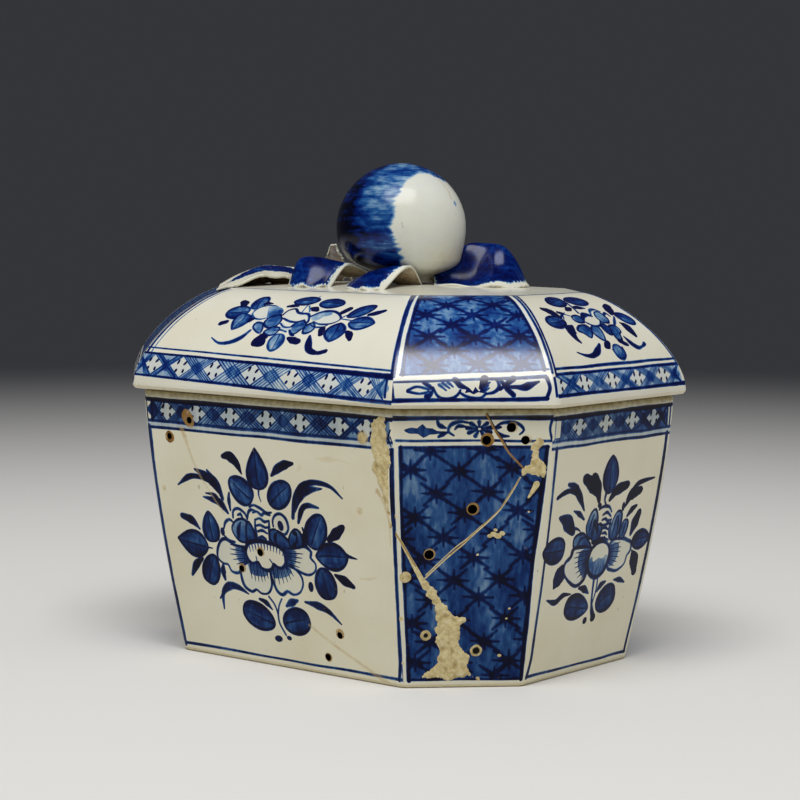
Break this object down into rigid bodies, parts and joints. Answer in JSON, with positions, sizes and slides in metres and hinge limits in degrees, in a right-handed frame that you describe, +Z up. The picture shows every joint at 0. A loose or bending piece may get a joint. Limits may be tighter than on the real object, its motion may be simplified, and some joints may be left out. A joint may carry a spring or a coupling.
{
  "type": "butter tub",
  "caption": "Octagonal blue and white earthenware butter tub with tapering panelled walls and a lift-off domed cover topped by a fruit knob with leaves.",
  "frame": {"origin": "centre of the tub's foot, on the surface that it stands on", "axes": "+X along the tub's length, +Y across it towards the back long panel, +Z up towards the fruit knob"},
  "size_m": [0.136, 0.108, 0.1221],
  "materials": {
    "tub_glaze": "warm white tin glaze painted in cobalt, glossy",
    "cover_glaze": "warm white tin glaze painted in cobalt, glossy",
    "flange_glaze": "thin glaze, buff body showing on the edges",
    "fruit_glaze": "white tin glaze, half washed with cobalt, glossy",
    "leaf_glaze": "cobalt wash over white tin glaze, glossy",
    "filler": "matt cream filler"
  },
  "bodies": {
    "tub_body": {"tub": "tub_glaze", "fill_front_ridge": "filler", "fill_chamfer_top": "filler", "fill_chamfer_foot": "filler", "plug_front_top": "filler", "plug_chamfer_left": "filler", "plug_chamfer_low": "filler", "plug_chamfer_right": "filler"},
    "cover_body": {"cover": "cover_glaze", "cover_flange": "flange_glaze", "fruit_knob": "fruit_glaze", "leaf_left": "leaf_glaze", "leaf_left_front": "leaf_glaze", "leaf_front": "leaf_glaze", "leaf_right": "leaf_glaze", "leaf_back": "leaf_glaze"}
  },
  "joints": [
    {"name": "cover_lift", "type": "slide", "parent": "tub_body", "child": "cover_body", "axis": [0, 0, 1], "range_m": [0, 0.07]}
  ]
}
